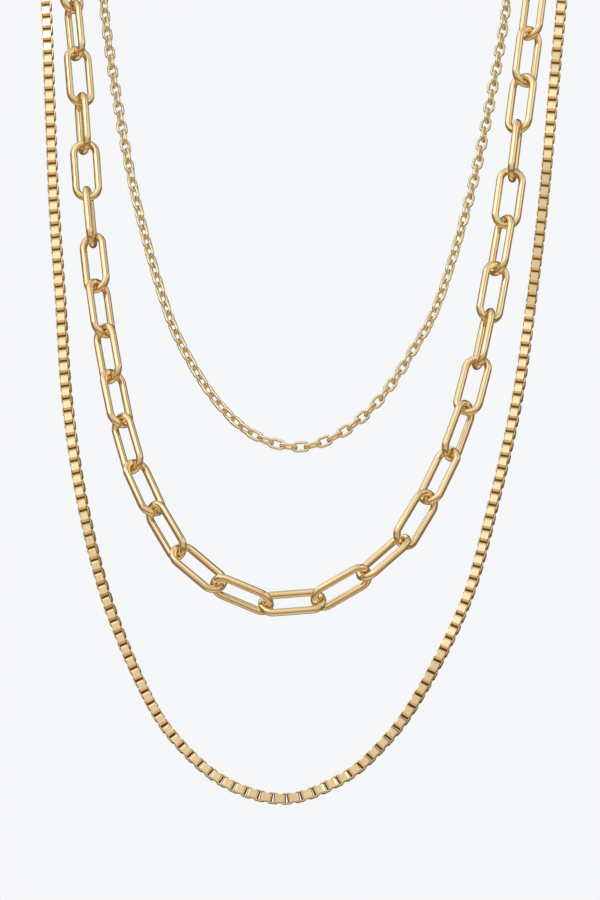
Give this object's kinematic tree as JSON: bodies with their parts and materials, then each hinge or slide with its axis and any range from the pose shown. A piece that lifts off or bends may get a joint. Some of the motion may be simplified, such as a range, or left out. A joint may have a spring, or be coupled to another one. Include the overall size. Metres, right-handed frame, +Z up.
{
  "type": "multi strand necklace",
  "caption": "Layered necklace in polished gold tone: a short fine cable chain, a paperclip chain and a long box chain that meet at the clasp, hanging as worn.",
  "frame": {"origin": "middle of the clasp, where the necklace sits on the nape of the neck", "axes": "+Z up, -Y towards the wearer's front, +X towards the wearer's left, which is the right of the picture"},
  "size_m": [0.1071, 0.1216, 0.1993],
  "materials": {
    "polished_gold": "polished gold plate on brass"
  },
  "bodies": {
    "root": {"cable_chain": "polished_gold", "paperclip_link_01": "polished_gold", "paperclip_link_02": "polished_gold", "paperclip_link_03": "polished_gold", "paperclip_link_04": "polished_gold", "paperclip_link_05": "polished_gold", "paperclip_link_06": "polished_gold", "paperclip_link_07": "polished_gold", "paperclip_link_08": "polished_gold", "paperclip_link_09": "polished_gold", "paperclip_link_10": "polished_gold", "paperclip_link_11": "polished_gold", "paperclip_link_12": "polished_gold", "paperclip_link_13": "polished_gold", "paperclip_link_14": "polished_gold", "paperclip_link_15": "polished_gold", "paperclip_link_16": "polished_gold", "paperclip_link_17": "polished_gold", "paperclip_link_18": "polished_gold", "paperclip_link_19": "polished_gold", "paperclip_link_20": "polished_gold", "paperclip_link_21": "polished_gold", "paperclip_link_22": "polished_gold", "paperclip_link_23": "polished_gold", "paperclip_link_24": "polished_gold", "paperclip_link_25": "polished_gold", "paperclip_link_26": "polished_gold", "paperclip_link_27": "polished_gold", "paperclip_link_28": "polished_gold", "paperclip_link_29": "polished_gold", "paperclip_chain_back_right": "polished_gold", "paperclip_chain_back_left": "polished_gold", "box_chain": "polished_gold", "box_chain_cap_right": "polished_gold", "box_chain_cap_left": "polished_gold", "clasp": "polished_gold"}
  },
  "joints": []
}
